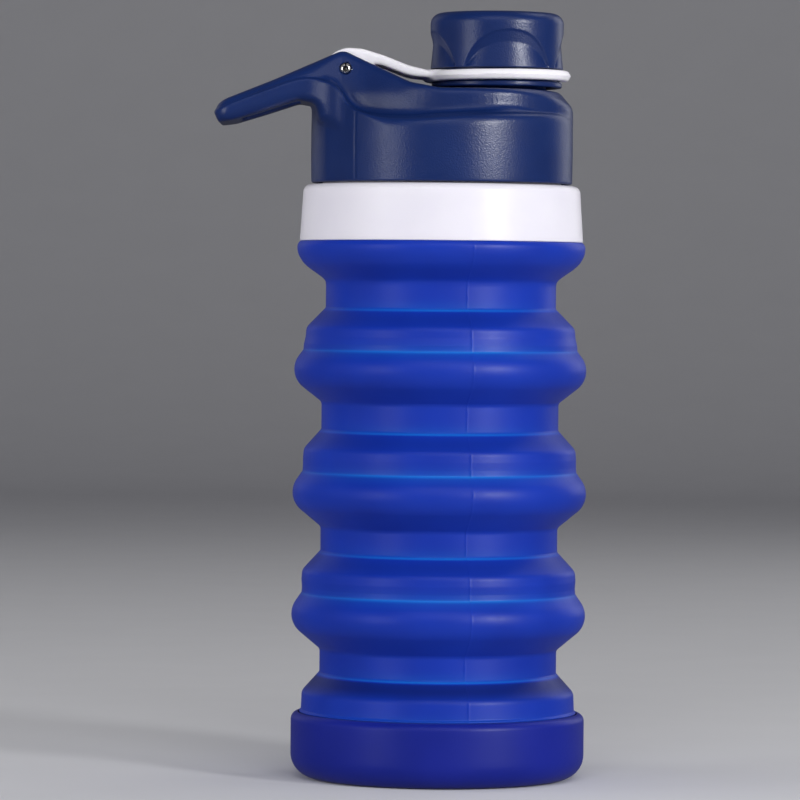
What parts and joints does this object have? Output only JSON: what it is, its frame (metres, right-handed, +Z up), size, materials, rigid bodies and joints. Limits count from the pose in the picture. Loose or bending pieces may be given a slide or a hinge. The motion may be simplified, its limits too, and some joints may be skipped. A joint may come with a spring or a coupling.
{
  "type": "folding water bottle",
  "caption": "Collapsible silicone water bottle with a screw lid, a rigid carry loop and a screw spout cap held by a hinged strap.",
  "frame": {"origin": "centre of the base's flat underside, on the bottle's axis", "axes": "+Z up the bottle's axis; the carry loop points to -X and the spout stands off the axis to +X"},
  "size_m": [0.098, 0.0764, 0.199],
  "materials": {
    "body_silicone": "satin, slightly translucent",
    "base_silicone": "satin, opaque",
    "white_plastic": "smooth satin",
    "navy_plastic": "satin with a fine moulded grain",
    "seal_silicone": "satin",
    "pin_steel": "rolled"
  },
  "bodies": {
    "base": {"base_cup": "base_silicone", "body_floor": "body_silicone", "fold_wall_1": "body_silicone"},
    "lower_ring": {"fold_ring_1": "body_silicone", "fold_wall_2": "body_silicone"},
    "middle_ring": {"fold_ring_2": "body_silicone", "fold_wall_3": "body_silicone"},
    "upper_ring": {"fold_ring_3": "body_silicone", "fold_wall_4": "body_silicone"},
    "neck": {"shoulder_ring": "body_silicone", "neck_collar": "white_plastic", "threaded_neck": "white_plastic"},
    "lid_rise": {"lid_gasket": "seal_silicone"},
    "lid": {"lid_body": "navy_plastic", "carry_loop": "navy_plastic", "spout": "navy_plastic", "hinge_pin": "pin_steel"},
    "strap": {"cap_strap": "white_plastic"},
    "cap": {"spout_cap": "navy_plastic", "cap_liner": "seal_silicone"}
  },
  "joints": [
    {"name": "fold_1", "type": "slide", "parent": "base", "child": "lower_ring", "axis": [0, 0, -1], "range_m": [0, 0.0165], "deforming": ["fold_wall_1"]},
    {"name": "fold_2", "type": "slide", "parent": "lower_ring", "child": "middle_ring", "axis": [0, 0, -1], "range_m": [0, 0.0165], "deforming": ["fold_wall_2"]},
    {"name": "fold_3", "type": "slide", "parent": "middle_ring", "child": "upper_ring", "axis": [0, 0, -1], "range_m": [0, 0.0165], "deforming": ["fold_wall_3"]},
    {"name": "fold_4", "type": "slide", "parent": "upper_ring", "child": "neck", "axis": [0, 0, -1], "range_m": [0, 0.0165], "deforming": ["fold_wall_4"]},
    {"name": "lid_lift", "type": "slide", "parent": "neck", "child": "lid_rise", "axis": [0, 0, 1], "range_m": [0, 0.009]},
    {"name": "lid_turn", "type": "hinge", "parent": "lid_rise", "child": "lid", "pos_m": [0, 0, 0.16], "axis": [0, 0, 1], "range_deg": [0, 720]},
    {"name": "strap_swing", "type": "hinge", "parent": "lid", "child": "strap", "pos_m": [-0.0251, 0, 0.1834], "axis": [0, -1, 0], "range_deg": [0, 150]},
    {"name": "cap_turn", "type": "hinge", "parent": "strap", "child": "cap", "pos_m": [0.014, 0, 0.1808], "axis": [0, 0, 1], "continuous": true}
  ],
  "couplings": [
    {"joint": "lid_lift", "follows": "lid_turn", "m_per_rad": 0.0007162}
  ]
}
